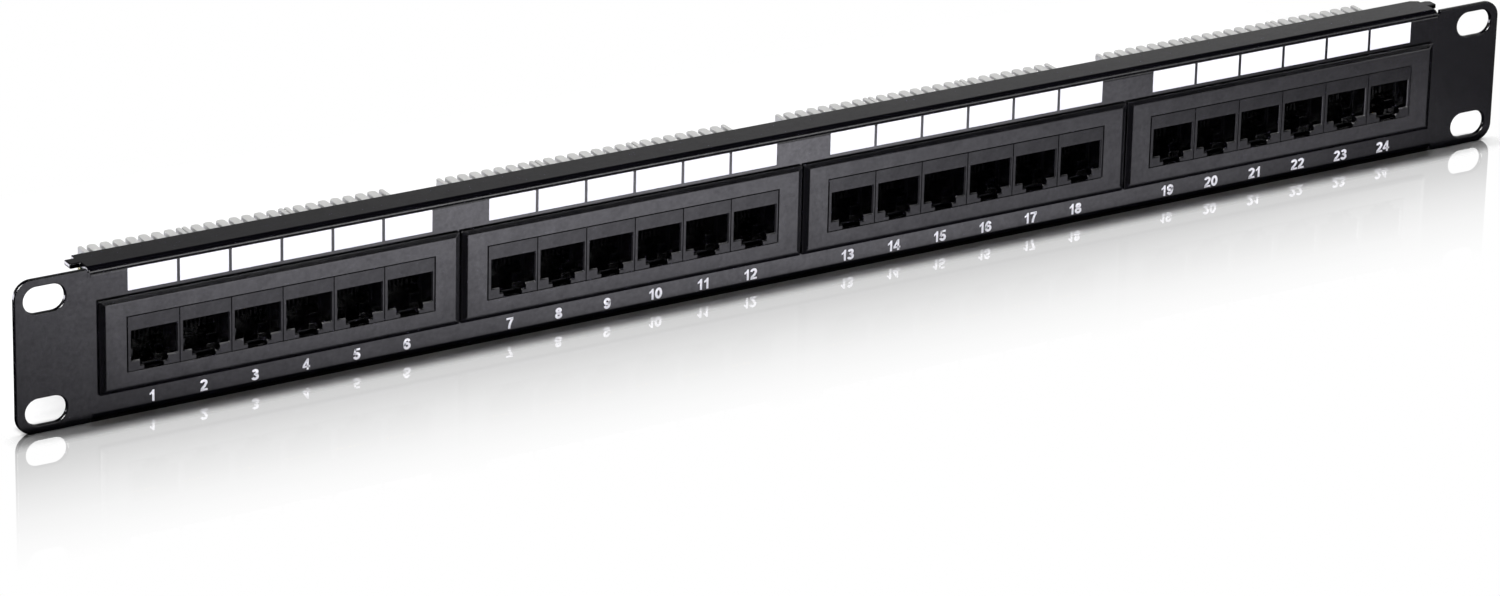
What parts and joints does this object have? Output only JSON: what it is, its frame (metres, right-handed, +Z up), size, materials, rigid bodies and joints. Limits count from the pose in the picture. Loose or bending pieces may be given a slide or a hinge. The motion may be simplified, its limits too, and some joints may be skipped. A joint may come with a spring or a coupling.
{
  "type": "rack patch panel",
  "caption": "Rack-width network patch panel: folded black steel front with slotted ears, framed rows of modular jacks, and grey punch-down blocks on circuit boards behind.",
  "frame": {"origin": "centre of the whole panel's bounding box", "axes": "+X to the right along the panel's width as seen from the front, +Y from the front face towards the back, +Z up"},
  "size_m": [0.4826, 0.0302, 0.0436],
  "materials": {
    "panel_paint": "semi-gloss black powder coat with a fine orange-peel grain",
    "bezel_plastic": "matte black moulded plastic with fine spark-eroded grain",
    "jack_plastic": "satin black moulded plastic",
    "circuit_board": "green solder mask over glass-fibre board",
    "idc_plastic": "satin light grey moulded plastic",
    "label_print": "matte white screen print",
    "contact_gold": "polished gold flash over phosphor bronze",
    "contact_tin": "tin-plated contact metal"
  },
  "bodies": {
    "root": {"front_panel": "panel_paint", "bezel_1": "bezel_plastic", "bezel_2": "bezel_plastic", "bezel_3": "bezel_plastic", "bezel_4": "bezel_plastic", "circuit_board_1": "circuit_board", "circuit_board_2": "circuit_board", "circuit_board_3": "circuit_board", "circuit_board_4": "circuit_board", "jack_housing_01": "jack_plastic", "jack_housing_02": "jack_plastic", "jack_housing_03": "jack_plastic", "jack_housing_04": "jack_plastic", "jack_housing_05": "jack_plastic", "jack_housing_06": "jack_plastic", "jack_housing_07": "jack_plastic", "jack_housing_08": "jack_plastic", "jack_housing_09": "jack_plastic", "jack_housing_10": "jack_plastic", "jack_housing_11": "jack_plastic", "jack_housing_12": "jack_plastic", "jack_housing_13": "jack_plastic", "jack_housing_14": "jack_plastic", "jack_housing_15": "jack_plastic", "jack_housing_16": "jack_plastic", "jack_housing_17": "jack_plastic", "jack_housing_18": "jack_plastic", "jack_housing_19": "jack_plastic", "jack_housing_20": "jack_plastic", "jack_housing_21": "jack_plastic", "jack_housing_22": "jack_plastic", "jack_housing_23": "jack_plastic", "jack_housing_24": "jack_plastic", "idc_block_upper_01": "idc_plastic", "idc_block_upper_02": "idc_plastic", "idc_block_upper_03": "idc_plastic", "idc_block_upper_04": "idc_plastic", "idc_block_upper_05": "idc_plastic", "idc_block_upper_06": "idc_plastic", "idc_block_upper_07": "idc_plastic", "idc_block_upper_08": "idc_plastic", "idc_block_upper_09": "idc_plastic", "idc_block_upper_10": "idc_plastic", "idc_block_upper_11": "idc_plastic", "idc_block_upper_12": "idc_plastic", "idc_block_lower_01": "idc_plastic", "idc_block_lower_02": "idc_plastic", "idc_block_lower_03": "idc_plastic", "idc_block_lower_04": "idc_plastic", "idc_block_lower_05": "idc_plastic", "idc_block_lower_06": "idc_plastic", "idc_block_lower_07": "idc_plastic", "idc_block_lower_08": "idc_plastic", "idc_block_lower_09": "idc_plastic", "idc_block_lower_10": "idc_plastic", "idc_block_lower_11": "idc_plastic", "idc_block_lower_12": "idc_plastic"}
  },
  "joints": []
}
